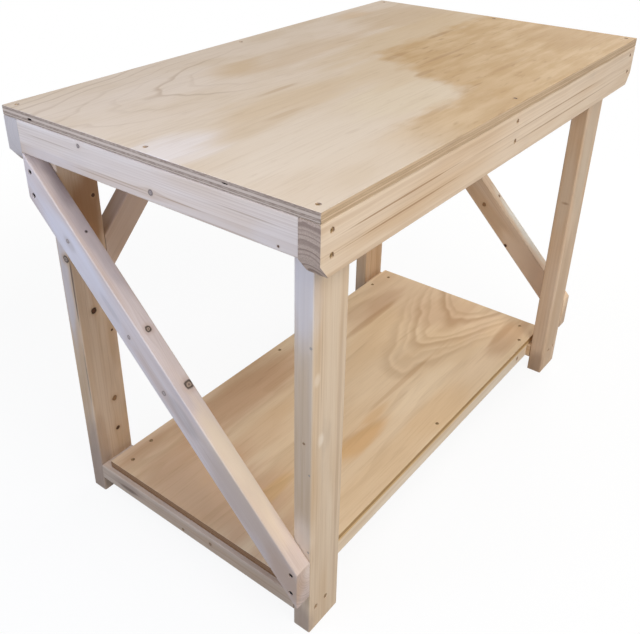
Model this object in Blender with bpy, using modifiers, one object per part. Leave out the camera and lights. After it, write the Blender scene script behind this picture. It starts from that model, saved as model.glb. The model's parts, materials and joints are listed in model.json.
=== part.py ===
"""Workbench: a plywood top and shelf on a screwed frame of planed softwood.

Metres, +Z up. X runs along the bench, Y from its front to its back, and the
origin is on the floor, midway between the four legs.
"""

import math

import bmesh
import bpy
from mathutils import Matrix, Vector

# Overall size
BENCH_LENGTH = 1.220
BENCH_DEPTH = 0.710
BENCH_HEIGHT = 0.910

# Stock
TOP_THICKNESS = 0.018
SHELF_THICKNESS = 0.018
BOARD_EASING = 0.0008
TIMBER_THICKNESS = 0.038
ARRIS_RADIUS = 0.003
ARRIS_STEPS = 3

# Widths that the timber is cut from
LONG_RAIL_WIDTH = 0.089
END_RAIL_WIDTH = 0.063
LEG_WIDTH = 0.089
BRACE_WIDTH = 0.063
KNEE_WIDTH = 0.063
SHELF_RAIL_WIDTH = 0.089

# Top frame
RAIL_CORNER_CUT = 0.020
CENTRE_RAIL_SHIFT = -0.017

# Braces: height of the end brace's upper edge on the front leg, and reach of the knee along the top
BRACE_FOOT_HEIGHT = 0.195
KNEE_REACH = 0.268
KNEE_ANGLE = math.radians(45)

# Shelf
SHELF_RAIL_HEIGHT = 0.038
SHELF_RAIL_SETBACK = 0.011
SHELF_END_INSET = 0.010
SHELF_FRONT_GAP = 0.0095
SHELF_BACK_GAP = 0.022

# Clearance between pieces that touch, and between a screw and its hole
GAP = 0.0003

# Points closer than this are one point, and edges sharper than this stay sharp on round pieces
WELD_DISTANCE = 0.00001
CREASE_ANGLE = math.radians(30)

# Countersunk screws
SCREW_SIDES = 16
SCREW_SINK = 0.002
SCREW_LIP = 0.0006
FRAME_SCREW_LENGTH = 0.070
FRAME_SCREW_SHANK = 0.0050
FRAME_SCREW_HEAD = 0.0095
BOARD_SCREW_LENGTH = 0.045
BOARD_SCREW_SHANK = 0.0045
BOARD_SCREW_HEAD = 0.0085

# Where the screws go
RAIL_SCREW_SHIFT = 0.007
RAIL_SCREW_DROP = 0.017
RAIL_SCREW_PITCH = 0.038
BRACE_SCREW_INSET = 0.014
BRACE_SCREW_START = 0.010
BRACE_SCREW_PITCH = 0.046
FOOT_SCREW_INSET = 0.020
FOOT_SCREW_PITCH = 0.030

# Planes of the assembly, each measured from the bench's middle or from the floor
END_X = BENCH_LENGTH / 2
FACE_Y = BENCH_DEPTH / 2
UNDER_TOP = BENCH_HEIGHT - TOP_THICKNESS
FRAME_TOP = UNDER_TOP - GAP
END_RAIL_BOTTOM = FRAME_TOP - END_RAIL_WIDTH
RAIL_INNER_X = END_X - TIMBER_THICKNESS
RAIL_INNER_Y = FACE_Y - TIMBER_THICKNESS
RAIL_MIDDLE_X = END_X - TIMBER_THICKNESS / 2
RAIL_MIDDLE_Y = FACE_Y - TIMBER_THICKNESS / 2
LEG_OUTER_X = RAIL_INNER_X - GAP
LEG_INNER_X = LEG_OUTER_X - LEG_WIDTH
LEG_OUTER_Y = RAIL_INNER_Y - GAP
LEG_INNER_Y = LEG_OUTER_Y - TIMBER_THICKNESS
SHELF_RAIL_MIDDLE = SHELF_RAIL_HEIGHT + TIMBER_THICKNESS / 2
SHELF_RAIL_TOP = SHELF_RAIL_HEIGHT + TIMBER_THICKNESS

# How a board is turned: it is made with its length along X, its thickness along Y and its width along Z
ALONG_X = Matrix.Identity(4)
ALONG_Y = Matrix.Rotation(math.pi / 2, 4, "Z")
UPRIGHT = Matrix.Rotation(-math.pi / 2, 4, "Y")
FLAT = Matrix.Rotation(math.pi / 2, 4, "X")
TURNED_ROUND = Matrix.Rotation(math.pi, 4, "Z")

SIDES = {"left": -1, "right": 1}
FACES = {"front": -1, "back": 1}


def clear_scene():
    for obj in list(bpy.data.objects):
        bpy.data.objects.remove(obj, do_unlink=True)


def new_collection(name):
    collection = bpy.data.collections.new(name)
    bpy.context.scene.collection.children.link(collection)
    return collection


def new_material(name, colour, roughness, metallic=0.0):
    material = bpy.data.materials.new(name)
    material.use_nodes = True
    shader = material.node_tree.nodes["Principled BSDF"]
    shader.inputs["Base Color"].default_value = (*colour, 1.0)
    shader.inputs["Roughness"].default_value = roughness
    shader.inputs["Metallic"].default_value = metallic
    return material


def add_part(name, mesh, material, place):
    part = bpy.data.objects.new(name, mesh)
    if not mesh.materials:
        mesh.materials.append(material)
    parts.objects.link(part)
    part.parent = bench
    part.matrix_world = place
    return part


def mesh_of(bm, name):
    bmesh.ops.recalc_face_normals(bm, faces=bm.faces)
    mesh = bpy.data.meshes.new(name)
    bm.to_mesh(mesh)
    bm.free()
    return mesh


def saw_cut(bm, point, normal):
    """Takes off everything on the side of the plane that its normal points to, and closes the cut."""
    everything = bm.verts[:] + bm.edges[:] + bm.faces[:]
    cut = bmesh.ops.bisect_plane(
        bm, geom=everything, dist=WELD_DISTANCE, plane_co=point, plane_no=normal, clear_outer=True
    )
    rim = [edge for edge in cut["geom_cut"] if isinstance(edge, bmesh.types.BMEdge)]
    bmesh.ops.edgeloop_fill(bm, edges=rim)


def add_timber(name, length, width, place, cuts=()):
    """A planed board with rounded long edges. Each cut is a point and a normal in the bench's frame."""
    bm = bmesh.new()
    bmesh.ops.create_cube(bm, size=1.0)
    bmesh.ops.scale(bm, vec=(length, TIMBER_THICKNESS, width), verts=bm.verts)
    long_edges = [e for e in bm.edges if abs(e.verts[0].co.x - e.verts[1].co.x) > length / 2]
    bmesh.ops.bevel(
        bm, geom=long_edges, offset=ARRIS_RADIUS, segments=ARRIS_STEPS, profile=0.5, affect="EDGES"
    )
    to_board = place.inverted()
    for point, normal in cuts:
        saw_cut(bm, to_board @ Vector(point), to_board.to_3x3() @ Vector(normal))
    return add_part(name, mesh_of(bm, name), softwood, place)


def add_board(name, low, high, material):
    """A plywood panel between two corners, with its edges just eased."""
    low, high = Vector(low), Vector(high)
    bm = bmesh.new()
    bmesh.ops.create_cube(bm, size=1.0)
    bmesh.ops.scale(bm, vec=high - low, verts=bm.verts)
    bmesh.ops.bevel(bm, geom=bm.edges[:], offset=BOARD_EASING, segments=1, affect="EDGES")
    return add_part(name, mesh_of(bm, name), material, Matrix.Translation((low + high) / 2))


def at(x, y, z, turn=ALONG_X):
    return Matrix.Translation((x, y, z)) @ turn


def add_long_rails():
    """Front and back rails, with the lower corner of each end sawn off level with the end rails."""
    middle = FRAME_TOP - LONG_RAIL_WIDTH / 2
    drop = LONG_RAIL_WIDTH - END_RAIL_WIDTH
    corners = [
        ((end * END_X, 0, END_RAIL_BOTTOM), (end * drop, 0, -RAIL_CORNER_CUT)) for end in SIDES.values()
    ]
    for face, way in FACES.items():
        place = at(0, way * RAIL_MIDDLE_Y, middle)
        add_timber(f"{face}_top_rail", BENCH_LENGTH, LONG_RAIL_WIDTH, place, corners)


def add_cross_rails():
    """End rails and the centre rail, all between the long rails."""
    length = 2 * (RAIL_INNER_Y - GAP)
    middle = FRAME_TOP - END_RAIL_WIDTH / 2
    for side, way in SIDES.items():
        add_timber(f"{side}_top_rail", length, END_RAIL_WIDTH, at(way * RAIL_MIDDLE_X, 0, middle, ALONG_Y))
    add_timber("centre_top_rail", length, END_RAIL_WIDTH, at(CENTRE_RAIL_SHIFT, 0, middle, ALONG_Y))


def add_legs():
    for face, face_way in FACES.items():
        for side, side_way in SIDES.items():
            x = side_way * (LEG_OUTER_X - LEG_WIDTH / 2)
            y = face_way * (LEG_OUTER_Y - TIMBER_THICKNESS / 2)
            add_timber(f"{face}_{side}_leg", FRAME_TOP, LEG_WIDTH, at(x, y, FRAME_TOP / 2, UPRIGHT))


def add_end_braces():
    """A diagonal on the outside of each pair of legs, cut plumb with their outer edges at both ends."""
    span = 2 * LEG_OUTER_Y
    head = END_RAIL_BOTTOM - GAP
    slope = math.atan2(head - BRACE_FOOT_HEIGHT, span)
    stick = span / math.cos(slope) + 2 * BRACE_WIDTH / math.cos(slope)
    y = math.sin(slope) * BRACE_WIDTH / 2
    z = (head + BRACE_FOOT_HEIGHT) / 2 - math.cos(slope) * BRACE_WIDTH / 2
    turn = Matrix.Rotation(slope, 4, "X") @ ALONG_Y
    cuts = [((0, way * LEG_OUTER_Y, 0), (0, way, 0)) for way in FACES.values()]
    for side, way in SIDES.items():
        add_timber(f"{side}_end_brace", stick, BRACE_WIDTH, at(way * RAIL_MIDDLE_X, y, z, turn), cuts)
    return BRACE_WIDTH / math.cos(slope)


def add_knee_braces():
    """A short diagonal from each back leg to the top, in the legs' plane, against the back rail."""
    y = LEG_OUTER_Y - TIMBER_THICKNESS / 2
    rise = KNEE_REACH * math.tan(KNEE_ANGLE)
    stick = KNEE_REACH / math.cos(KNEE_ANGLE) + 4 * KNEE_WIDTH
    tilt = Matrix.Rotation(-KNEE_ANGLE, 4, "Y")
    for side, way in SIDES.items():
        x = way * (LEG_INNER_X - KNEE_REACH / 2 - math.sin(KNEE_ANGLE) * KNEE_WIDTH / 2)
        z = UNDER_TOP - rise / 2 - math.cos(KNEE_ANGLE) * KNEE_WIDTH / 2
        turn = TURNED_ROUND @ tilt if way > 0 else tilt
        cuts = [
            ((way * (LEG_INNER_X - GAP), 0, 0), (way, 0, 0)),
            ((0, 0, FRAME_TOP), (0, 0, 1)),
        ]
        add_timber(f"back_{side}_knee_brace", stick, KNEE_WIDTH, at(x, y, z, turn), cuts)


def add_shelf():
    """Four rails laid flat between the legs, and the board on them."""
    side_length = 2 * (LEG_INNER_Y - GAP)
    side_x = LEG_OUTER_X - SHELF_RAIL_WIDTH / 2
    for side, way in SIDES.items():
        place = at(way * side_x, 0, SHELF_RAIL_MIDDLE, ALONG_Y @ FLAT)
        add_timber(f"{side}_shelf_rail", side_length, SHELF_RAIL_WIDTH, place)
    cross_length = 2 * (LEG_OUTER_X - SHELF_RAIL_WIDTH - GAP)
    cross_y = LEG_INNER_Y - SHELF_RAIL_SETBACK - SHELF_RAIL_WIDTH / 2
    for face, way in FACES.items():
        place = at(0, way * cross_y, SHELF_RAIL_MIDDLE, FLAT)
        add_timber(f"{face}_shelf_rail", cross_length, SHELF_RAIL_WIDTH, place)
    end = LEG_OUTER_X - SHELF_END_INSET
    bottom = SHELF_RAIL_TOP + GAP
    low = (-end, -(LEG_INNER_Y - SHELF_FRONT_GAP), bottom)
    high = (end, LEG_INNER_Y - SHELF_BACK_GAP, bottom + SHELF_THICKNESS)
    add_board("shelf_board", low, high, shelf_ply)


def add_top():
    add_board("top_board", (-END_X, -FACE_Y, UNDER_TOP), (END_X, FACE_Y, BENCH_HEIGHT), top_ply)


def turned_mesh(name, profile):
    """A solid of revolution about Z. The profile is (radius, height) from the top of the axis to its foot."""
    mesh = bpy.data.meshes.new(name)
    points = [(radius, 0, height) for radius, height in profile]
    mesh.from_pydata(points, [(i, i + 1) for i in range(len(points) - 1)], [])
    lathe = bpy.data.objects.new(name, mesh)
    parts.objects.link(lathe)
    turn = lathe.modifiers.new("Turn", "SCREW")
    turn.steps = SCREW_SIDES
    turn.render_steps = SCREW_SIDES
    turn.use_merge_vertices = True
    turn.merge_threshold = WELD_DISTANCE
    turned = bpy.data.meshes.new_from_object(lathe.evaluated_get(bpy.context.evaluated_depsgraph_get()))
    bpy.data.objects.remove(lathe, do_unlink=True)
    turned.shade_smooth()
    turned.set_sharp_from_angle(angle=CREASE_ANGLE)
    return turned


def screw_profile(length, shank, head, grow=0.0, mouth=0.0):
    """A countersunk screw, its head's face at height 0, or with grow and mouth the hole that it fits."""
    cone = (head - shank) / 2
    return [
        (0, mouth),
        (head / 2 + grow, mouth),
        (head / 2 + grow, -SCREW_LIP),
        (shank / 2 + grow, -SCREW_LIP - cone),
        (shank / 2 + grow, -length + shank - grow),
        (0, -length - grow),
    ]


def screw_kind(name, length, shank, head):
    """The screw's mesh and that of its hole, which opens through the face above the sunk head."""
    screw = turned_mesh(name, screw_profile(length, shank, head))
    hole = turned_mesh(f"{name}_hole", screw_profile(length, shank, head, GAP, 2 * SCREW_SINK))
    return screw, hole


def drive_screw(name, kind, face_point, inward, boards):
    """Sets a screw below the face at this point, and notes its hole for each board that it goes into."""
    inward = Vector(inward)
    turn = Vector((0, 0, -1)).rotation_difference(inward).to_matrix().to_4x4()
    place = Matrix.Translation(Vector(face_point) + inward * SCREW_SINK) @ turn
    screw, hole = kind
    add_part(name, screw, steel, place)
    for board in boards:
        holes.setdefault(board, []).append((hole, place))


def drive_top_screws(kind):
    spots = []
    for face, face_way in FACES.items():
        for side_way in SIDES.values():
            spots.append((side_way * RAIL_MIDDLE_X, face_way * RAIL_MIDDLE_Y, f"{face}_top_rail"))
        spots.append((0, face_way * RAIL_MIDDLE_Y, f"{face}_top_rail"))
    for side, side_way in SIDES.items():
        spots.append((side_way * RAIL_MIDDLE_X, 0, f"{side}_top_rail"))
    for number, (x, y, rail) in enumerate(spots, start=1):
        drive_screw(f"top_screw_{number}", kind, (x, y, BENCH_HEIGHT), (0, 0, -1), ["top_board", rail])


def drive_rail_screws(kind):
    """Pairs through each long rail into the ends of the cross rails."""
    across = RAIL_MIDDLE_X - RAIL_SCREW_SHIFT
    joints = {"left": -across, "centre": CENTRE_RAIL_SHIFT, "right": across}
    for face, way in FACES.items():
        for cross, x in joints.items():
            for number in (1, 2):
                z = FRAME_TOP - RAIL_SCREW_DROP - (number - 1) * RAIL_SCREW_PITCH
                name = f"{face}_{cross}_rail_screw_{number}"
                boards = [f"{face}_top_rail", f"{cross}_top_rail"]
                drive_screw(name, kind, (x, way * FACE_Y, z), (0, -way, 0), boards)


def drive_brace_screws(kind, end_height):
    """Pairs through both ends of each end brace, counted from the blunt corner of the plumb cut."""
    corners = {"back": END_RAIL_BOTTOM - GAP - end_height, "front": BRACE_FOOT_HEIGHT}
    for side, side_way in SIDES.items():
        for face, face_way in FACES.items():
            y = face_way * (LEG_OUTER_Y - BRACE_SCREW_INSET)
            for number in (1, 2):
                step = BRACE_SCREW_START + (number - 1) * BRACE_SCREW_PITCH
                z = corners[face] + face_way * step
                name = f"{side}_{face}_brace_screw_{number}"
                boards = [f"{side}_end_brace", f"{face}_{side}_leg"]
                drive_screw(name, kind, (side_way * END_X, y, z), (-side_way, 0, 0), boards)


def drive_foot_screws(kind):
    """Pairs through each foot into the end of the side rail under the shelf."""
    for face, face_way in FACES.items():
        for side, side_way in SIDES.items():
            for number in (1, 2):
                inset = FOOT_SCREW_INSET + (number - 1) * FOOT_SCREW_PITCH
                x = side_way * (LEG_OUTER_X - inset)
                name = f"{face}_{side}_foot_screw_{number}"
                boards = [f"{face}_{side}_leg", f"{side}_shelf_rail"]
                point = (x, face_way * LEG_OUTER_Y, SHELF_RAIL_MIDDLE)
                drive_screw(name, kind, point, (0, -face_way, 0), boards)


def drill(board_name, drillings):
    """Cuts all of a board's screw holes with one Boolean."""
    board = parts.objects[board_name]
    to_board = board.matrix_world.inverted()
    bm = bmesh.new()
    for hole, place in drillings:
        known = len(bm.verts)
        bm.from_mesh(hole)
        bm.verts.ensure_lookup_table()
        bmesh.ops.transform(bm, matrix=to_board @ place, verts=bm.verts[known:])
    cutter = bpy.data.objects.new(f"{board_name}_holes", mesh_of(bm, f"{board_name}_holes"))
    cutters.objects.link(cutter)
    cutter.parent = bench
    cutter.matrix_world = board.matrix_world
    cutter.hide_render = True
    cutter.display_type = "WIRE"
    drilling = board.modifiers.new("Screw holes", "BOOLEAN")
    drilling.operation = "DIFFERENCE"
    drilling.solver = "EXACT"
    drilling.object = cutter


clear_scene()
parts = new_collection("workbench")
cutters = new_collection("workbench_cutters")
bench = bpy.data.objects.new("workbench_origin", None)
parts.objects.link(bench)
holes = {}

softwood = new_material("planed_softwood", (0.62, 0.48, 0.34), 0.62)
top_ply = new_material("top_plywood", (0.68, 0.53, 0.36), 0.55)
shelf_ply = new_material("shelf_plywood", (0.58, 0.41, 0.24), 0.58)
steel = new_material("zinc_plated_steel", (0.42, 0.40, 0.36), 0.38, 1.0)

add_top()
add_long_rails()
add_cross_rails()
add_legs()
brace_end_height = add_end_braces()
add_knee_braces()
add_shelf()
bpy.context.view_layer.update()

frame_screw = screw_kind("frame_screw", FRAME_SCREW_LENGTH, FRAME_SCREW_SHANK, FRAME_SCREW_HEAD)
board_screw = screw_kind("board_screw", BOARD_SCREW_LENGTH, BOARD_SCREW_SHANK, BOARD_SCREW_HEAD)
drive_top_screws(board_screw)
drive_rail_screws(frame_screw)
drive_brace_screws(frame_screw, brace_end_height)
drive_foot_screws(frame_screw)
for board_name, drillings in holes.items():
    drill(board_name, drillings)
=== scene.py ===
"""Workbench: the looks of its softwood frame, plywood boards and screws, with a studio round them."""

import json
import math
from typing import NamedTuple

import bmesh
import bpy
from mathutils import Matrix, Vector

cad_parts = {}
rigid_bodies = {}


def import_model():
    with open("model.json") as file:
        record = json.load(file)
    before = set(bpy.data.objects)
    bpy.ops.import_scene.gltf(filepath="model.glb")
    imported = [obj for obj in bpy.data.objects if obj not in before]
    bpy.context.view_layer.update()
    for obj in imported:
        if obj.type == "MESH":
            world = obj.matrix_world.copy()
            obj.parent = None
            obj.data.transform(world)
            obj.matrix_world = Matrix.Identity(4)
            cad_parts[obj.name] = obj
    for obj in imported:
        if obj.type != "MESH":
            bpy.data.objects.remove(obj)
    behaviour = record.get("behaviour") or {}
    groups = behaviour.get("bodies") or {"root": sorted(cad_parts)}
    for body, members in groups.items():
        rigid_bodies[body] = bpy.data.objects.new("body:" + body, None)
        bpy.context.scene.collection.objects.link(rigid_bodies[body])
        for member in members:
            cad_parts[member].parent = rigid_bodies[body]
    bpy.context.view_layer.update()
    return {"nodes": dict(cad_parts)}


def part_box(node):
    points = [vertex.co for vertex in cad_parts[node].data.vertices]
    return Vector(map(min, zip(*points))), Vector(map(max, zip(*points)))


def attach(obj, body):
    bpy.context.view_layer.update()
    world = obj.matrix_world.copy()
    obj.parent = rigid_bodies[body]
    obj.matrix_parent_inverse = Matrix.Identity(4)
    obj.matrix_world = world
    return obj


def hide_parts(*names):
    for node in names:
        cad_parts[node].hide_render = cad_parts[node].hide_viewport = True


for default_object in list(bpy.data.objects):
    bpy.data.objects.remove(default_object, do_unlink=True)
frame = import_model()

MM = 0.001

# Boards
WELD = 0.00001
FLAT_ANGLE = math.radians(1)
SAWN_ANGLE = math.radians(50)
SMOOTH_ANGLE = math.radians(40)
SAWN_EDGE = 0.0006
SAWN_STEPS = 2
FACE_WEIGHT = 100

# Screws in millimetres: head, shank and length, as in the frame's own
FRAME_SCREW = (9.5, 5.0, 70.0)
BOARD_SCREW = (8.5, 4.5, 45.0)
SCREW_SIDES = 24
SCREW_CLEARANCE = 0.3
# The head: its eased rim, inwards and down, the lip under that, and the neck under the cone
SCREW_EASE = (0.25, 0.2)
SCREW_LIP = 0.6
SCREW_NECK = 0.35
SCREW_NECK_DROP = 0.6
# The shank: its plain part's share of the length, how far that stands out from the core, and the step to it
SCREW_PLAIN = 0.36
SCREW_PLAIN_OUT = 0.3
SCREW_STEP = 0.8
# The core's share of the shank, and the length of the point in shanks
SCREW_CORE = 0.66
SCREW_POINT = 2.4
# The thread: its gap below the plain part, half its height, its root as a share of the core, and its run-out
THREAD_GAP = 1.0
THREAD_PITCH = 2.6
THREAD_SIDES = 12
THREAD_HALF = 0.42
THREAD_ROOT = 0.98
THREAD_END = 0.05
# The driver's cross: its width and reach as shares of the head, its depth, and how far it tapers
RECESS_WIDTH = 0.16
RECESS_REACH = 0.30
RECESS_DEPTH = 2.2
RECESS_TAPER = 0.45
# How far each screw is turned on from the one before, in radians
SCREW_TURN = 0.83
SHELF_SCREW_TURN = 1.1

# Shelf screws in millimetres: pairs over the side rails, then rows over the back and front rails
SHELF_SCREWS = (
    (-527.5, -222), (-527.5, 222), (527.5, -222), (527.5, 222),
    (-459, 237), (8, 237), (459, 237), (-462, -251), (10, -251), (462, -251),
)
SHELF_SCREW_SINK = 1.2
SHELF_HOLE_ABOVE = 4.0

# Gaps in the core veneers at the top's left edge in millimetres: Y, Z, half the width and half the height
CORE_GAPS = ((275.0, 900.0, 6.5, 2.0), (-185.0, 904.6, 6.0, 1.0))
CORE_GAP_DEPTH = 30.0
CORE_GAP_STEPS = 3

ACROSS_GRAIN = (0.0, 1.0, 1.0)
X_AXIS = (1.0, 0.0, 0.0)
Z_AXIS = (0.0, 0.0, 1.0)
DOWN = Vector((0, 0, -1))


def linear(value):
    """A linear value from a display value, 0 to 255, by the sRGB curve."""
    value = min(max(value / 255, 0.0), 1.0)
    return value / 12.92 if value <= 0.04045 else ((value + 0.055) / 1.055) ** 2.4


def shaded(tint, shade):
    """A tint changed by a difference, both in display values."""
    return tuple(value + change for value, change in zip(tint, shade))


class Grain(NamedTuple):
    """A noise: how closely it varies along each axis, its step on from the seed, and its detail."""
    scale: tuple
    step: float
    detail: float


class Span(NamedTuple):
    """Where in a noise a coat of colour starts, where it is full, and how strong it is then."""
    start: float
    full: float
    strength: float = 1.0


class Coat(NamedTuple):
    """A noise, where in it the coat shows, and the coat's colour, or its difference from a tint."""
    grain: Grain
    span: Span
    shade: tuple


BLACK = (0, 0, 0)
# A Mix node's sockets for colours, and a Noise node's outputs
MIX_SHARE, MIX_FIRST, MIX_SECOND, MIX_RESULT = 0, 6, 7, 2
NOISE_VALUE, NOISE_COLOUR = 0, 1


class Nodes:
    """A node tree under construction. Most calls add a node and give back the socket with its result."""

    def __init__(self, tree):
        self.tree = tree

    def add(self, kind, inputs=(), **settings):
        """A new node, with its inputs fed and its settings made."""
        node = self.tree.nodes.new("ShaderNode" + kind)
        for setting, value in settings.items():
            setattr(node, setting, value)
        for key, value in dict(inputs).items():
            self.feed(node.inputs[key], value)
        return node

    def feed(self, socket, value):
        """Links a socket to another, or sets its value. A colour of three is in display values."""
        if isinstance(value, bpy.types.NodeSocket):
            self.tree.links.new(value, socket)
        elif socket.type == "RGBA" and len(value) == 3:
            socket.default_value = (*map(linear, value), 1.0)
        else:
            socket.default_value = value

    def math(self, operation, *terms):
        return self.add("Math", enumerate(terms), operation=operation).outputs[0]

    def mix_shaders(self, share, first, second):
        return self.add("MixShader", enumerate((share, first, second))).outputs[0]

    def show(self, output, unseen, seen):
        """One shader for light on its way, another for what the camera sees straight on, in gloss or through
        glass."""
        path = self.add("LightPath").outputs
        share = self.math("MAXIMUM", path["Is Camera Ray"], path["Is Glossy Ray"])
        share = self.math("MAXIMUM", share, path["Is Transmission Ray"])
        self.feed(self.tree.nodes[output].inputs["Surface"], self.mix_shaders(share, unseen, seen))


class Look(Nodes):
    """A material under construction. Its noises are in local coordinates, which are the object's own unless
    they are set."""

    def __init__(self, name, seed=0.0):
        self.material = bpy.data.materials.new(name)
        self.material.use_nodes = True
        super().__init__(self.material.node_tree)
        self.shader = self.tree.nodes["Principled BSDF"]
        self.seed = seed
        coordinates = self.add("TexCoord")
        self.place = coordinates.outputs["Object"]
        self.normal = coordinates.outputs["Normal"]
        self.local = self.place

    def vector(self, operation, *terms):
        node = self.add("VectorMath", enumerate(terms), operation=operation)
        return node.outputs["Value" if operation in ("LENGTH", "DOT_PRODUCT") else "Vector"]

    def scale(self, vector, factor):
        inputs = {"Vector": vector, "Scale": factor}
        return self.add("VectorMath", inputs, operation="SCALE").outputs["Vector"]

    def noise(self, grain, place=None, output=NOISE_VALUE):
        """A noise at a place, which is the local one unless another is given."""
        scaled = self.vector("MULTIPLY", self.local if place is None else place, grain.scale)
        inputs = {"Vector": scaled, "W": self.seed + grain.step, "Scale": 1.0, "Detail": grain.detail}
        return self.add("TexNoise", inputs, noise_dimensions="4D").outputs[output]

    def line_noise(self, value):
        inputs = {"W": self.math("ADD", value, self.seed), "Scale": 1.0, "Detail": 1.0}
        return self.add("TexNoise", inputs, noise_dimensions="1D").outputs[NOISE_VALUE]

    def pick(self, number):
        """A value from 0 to 1 for each whole number."""
        return self.add("TexWhiteNoise", {"W": number}, noise_dimensions="1D").outputs[0]

    def fade(self, value, low, high, start=0.0, end=1.0):
        """Goes smoothly from start, at low, to end, at high."""
        inputs = {"Value": value, "From Min": low, "From Max": high, "To Min": start, "To Max": end}
        return self.add("MapRange", inputs, interpolation_type="SMOOTHSTEP").outputs[0]

    def plus(self, base, value, weight):
        """The base and the weighted value together."""
        return self.math("MULTIPLY_ADD", value, weight, base)

    def minus(self, value, less):
        return self.math("SUBTRACT", value, less)

    def times(self, *factors):
        product = factors[0]
        for factor in factors[1:]:
            product = self.math("MULTIPLY", product, factor)
        return product

    def mix(self, share, first, second):
        """The second colour over the first, by a share."""
        inputs = {MIX_SHARE: share, MIX_FIRST: first, MIX_SECOND: second}
        return self.add("Mix", inputs, data_type="RGBA").outputs[MIX_RESULT]

    def coat(self, colour, noise, span, over):
        """A colour with another laid over it, where a noise is within a span."""
        return self.mix(self.fade(noise, span.start, span.full, 0.0, span.strength), colour, over)

    def coated(self, colour, *coats, tint=BLACK, place=None):
        """A colour with coats laid over it in turn."""
        for coat in coats:
            colour = self.coat(colour, self.noise(coat.grain, place), coat.span, shaded(tint, coat.shade))
        return colour

    def along(self, vector, axis):
        """How long a vector is along an axis, either way."""
        return self.math("ABSOLUTE", self.vector("DOT_PRODUCT", vector, axis))

    def parts(self, vector):
        return self.add("SeparateXYZ", {0: vector}).outputs

    def finish(self, colour, roughness, gloss, height, bump):
        """The material, complete. The bump is a strength and a depth."""
        strength, depth = bump
        inputs = {"Strength": strength, "Distance": depth, "Height": height}
        self.feed(self.shader.inputs["Base Color"], colour)
        self.feed(self.shader.inputs["Roughness"], roughness)
        self.feed(self.shader.inputs["Specular IOR Level"], gloss)
        self.feed(self.shader.inputs["Normal"], self.add("Bump", inputs).outputs[0])
        return self.material


class Board:
    """A board of the frame: its mesh made ready for close views, and the directions of its sides."""

    def __init__(self, name):
        self.name = name
        self.low, self.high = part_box(name)
        self.centre = (self.low + self.high) / 2
        self.mesh = bpy.data.meshes.new(name + "_board")
        bm = bmesh.new()
        bm.from_mesh(frame["nodes"][name].data)
        bmesh.ops.remove_doubles(bm, verts=bm.verts, dist=WELD)
        bmesh.ops.dissolve_limit(bm, angle_limit=FLAT_ANGLE, verts=bm.verts, edges=bm.edges)
        self.find_directions(bm)
        sawn = [e for e in bm.edges if e.calc_face_angle(0.0) > SAWN_ANGLE]
        bmesh.ops.bevel(
            bm, geom=sawn, offset=SAWN_EDGE, segments=SAWN_STEPS, profile=0.5, affect="EDGES",
            clamp_overlap=True,
        )
        bm.to_mesh(self.mesh)
        bm.free()

    def find_directions(self, bm):
        """Along, through and across: the longest edge, the thinnest side, and what is square to both."""
        edges = [e for e in bm.edges if e.calc_face_angle(0.0) > FLAT_ANGLE]
        longest = max(edges, key=lambda e: e.calc_length())
        along = (longest.verts[1].co - longest.verts[0].co).normalized()
        if max(along, key=abs) < 0:
            along.negate()
        size = self.high - self.low
        thinnest = min(range(3), key=lambda axis: size[axis])
        through = Vector(float(axis == thinnest) for axis in range(3))
        across = along.cross(through)
        if max(across, key=abs) < 0:
            through, across = -through, -across
        self.along, self.through, self.across = along, through, across
        self.turn = Matrix((along, through, across)).transposed().to_euler()

    def local(self, x, y, z):
        """A point given in millimetres in the bench's frame, in the board's own directions, in metres."""
        offset = Vector((x, y, z)) * MM - self.centre
        return Vector((offset.dot(self.along), offset.dot(self.through), offset.dot(self.across)))

    def show(self, material, cutter=None):
        """Puts the dressed board in the node's place, less what the cutter takes away."""
        self.mesh.materials.append(material)
        piece = add_object(self.name + "_dressed", self.mesh)
        if cutter:
            cut_away(piece, cutter)
        piece.data.shade_smooth()
        piece.data.set_sharp_from_angle(angle=SMOOTH_ANGLE)
        shading = piece.modifiers.new("Flat faces", "WEIGHTED_NORMAL")
        shading.weight = FACE_WEIGHT
        shading.keep_sharp = True
        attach(piece, "root")
        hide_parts(self.name)


class KnotKind(NamedTuple):
    """How a kind of knot lies and looks: how its distance grows along, through and across the board, the
    colours of its heart and rim, and how strong the stain round it is."""
    shape: tuple
    heart: tuple
    rim: tuple
    halo: float


ON_FACE = (1.0, 0.05, 1.0)
ON_EDGE = (1.0, 1.0, 0.22)
DARK_KNOT = KnotKind(ON_FACE, (98, 62, 42), (48, 31, 23), 0.45)
FAINT_KNOT = KnotKind(ON_FACE, (186, 170, 160), (144, 126, 116), 0.15)
EDGE_KNOT = KnotKind(ON_EDGE, (172, 134, 98), (92, 66, 50), 0.45)
GREY_KNOT = KnotKind(ON_FACE, (164, 148, 138), (112, 97, 90), 0.25)
FAINT_EDGE_KNOT = KnotKind(ON_EDGE, (186, 174, 162), (156, 142, 130), 0.2)
RING_KNOT = KnotKind(ON_EDGE, (172, 150, 132), (44, 30, 22), 0.6)
SOFT_KNOT = KnotKind(ON_FACE, (160, 120, 84), (138, 102, 72), 0.45)


class Knot(NamedTuple):
    """A branch in a board: where it shows, its radius and its kind."""
    x: float
    y: float
    z: float
    radius: float
    kind: KnotKind = DARK_KNOT


class StainAndShading(NamedTuple):
    """A patch along the grain of a board, a real mark or painted light or shade: its middle, half its
    length and width, its strength and its colour, which is that of late wood unless it has another."""
    x: float
    y: float
    z: float
    length: float
    width: float
    strength: float
    colour: tuple = (158, 120, 84)


class Timber(NamedTuple):
    """The look of a length of softwood. The pith is in millimetres, through and across from the middle."""
    tint: tuple
    pith: tuple
    ring: float
    figure: float
    knots: tuple = ()
    stains_and_shading: tuple = ()


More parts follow.
